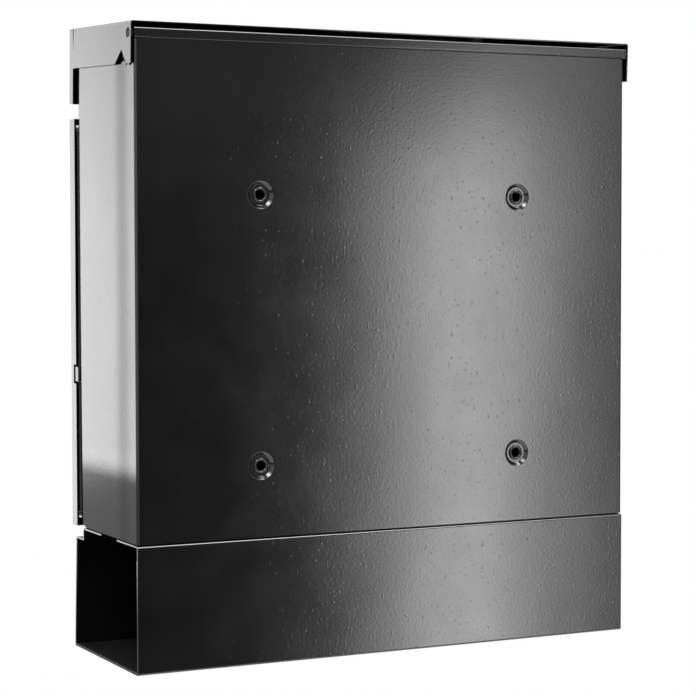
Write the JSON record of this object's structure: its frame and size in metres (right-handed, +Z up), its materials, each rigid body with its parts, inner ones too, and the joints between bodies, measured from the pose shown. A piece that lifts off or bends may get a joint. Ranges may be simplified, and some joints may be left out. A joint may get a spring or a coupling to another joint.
{
  "type": "wall mounted mailbox",
  "caption": "Wall mounted steel mailbox with a lifting lid over the letter slot, a side-hinged front door with a cam lock, and an open-ended newspaper tube below.",
  "frame": {"origin": "centre of the four wall holes' rectangle, on the back panel's outer face", "axes": "+Y out of the back panel into the wall, +Z up, +X towards the side that the door is hinged on"},
  "size_m": [0.3762, 0.1237, 0.4239],
  "materials": {
    "coated_steel": "semi-gloss black powder coat, fine orange peel",
    "zinc_steel": "bright zinc plated",
    "dark_steel": "black oxide, dull",
    "lock_chrome": "polished",
    "rubber": "matt black rubber",
    "bush_plastic": "black moulded nylon"
  },
  "bodies": {
    "case": {"case_shell": "coated_steel", "case_floor": "coated_steel", "front_rail": "coated_steel", "letter_guard": "coated_steel", "lid_hinge_sleeve": "coated_steel", "lid_hinge_rod": "dark_steel", "wall_grommets": "rubber", "newspaper_tube": "coated_steel", "tube_screws": "zinc_steel", "tube_nuts": "zinc_steel", "hinge_knuckle": "coated_steel", "pivot_lugs": "coated_steel", "lid_bumpers": "rubber", "door_buffers": "rubber"},
    "lid": {"lid_cover": "coated_steel", "lid_bushes": "bush_plastic"},
    "door": {"door_panel": "coated_steel", "door_ears": "coated_steel", "hinge_rod": "dark_steel", "hinge_rod_clips": "zinc_steel", "lock_body": "lock_chrome", "lock_seal": "rubber", "lock_nut": "zinc_steel"},
    "lock_core": {"lock_plug": "lock_chrome", "lock_cam": "zinc_steel", "cam_nut": "zinc_steel"}
  },
  "joints": [
    {"name": "lid_hinge", "type": "hinge", "parent": "case", "child": "lid", "pos_m": [0, -0.0053, 0.1912], "axis": [-1, 0, 0], "range_deg": [0, 88]},
    {"name": "door_hinge", "type": "hinge", "parent": "case", "child": "door", "pos_m": [0.1838, -0.1101, 0.003], "axis": [0, 0, 1], "range_deg": [0, 95]},
    {"name": "lock_turn", "type": "hinge", "parent": "door", "child": "lock_core", "pos_m": [-0.158, -0.108, 0.003], "axis": [0, 1, 0], "range_deg": [0, 90]}
  ]
}
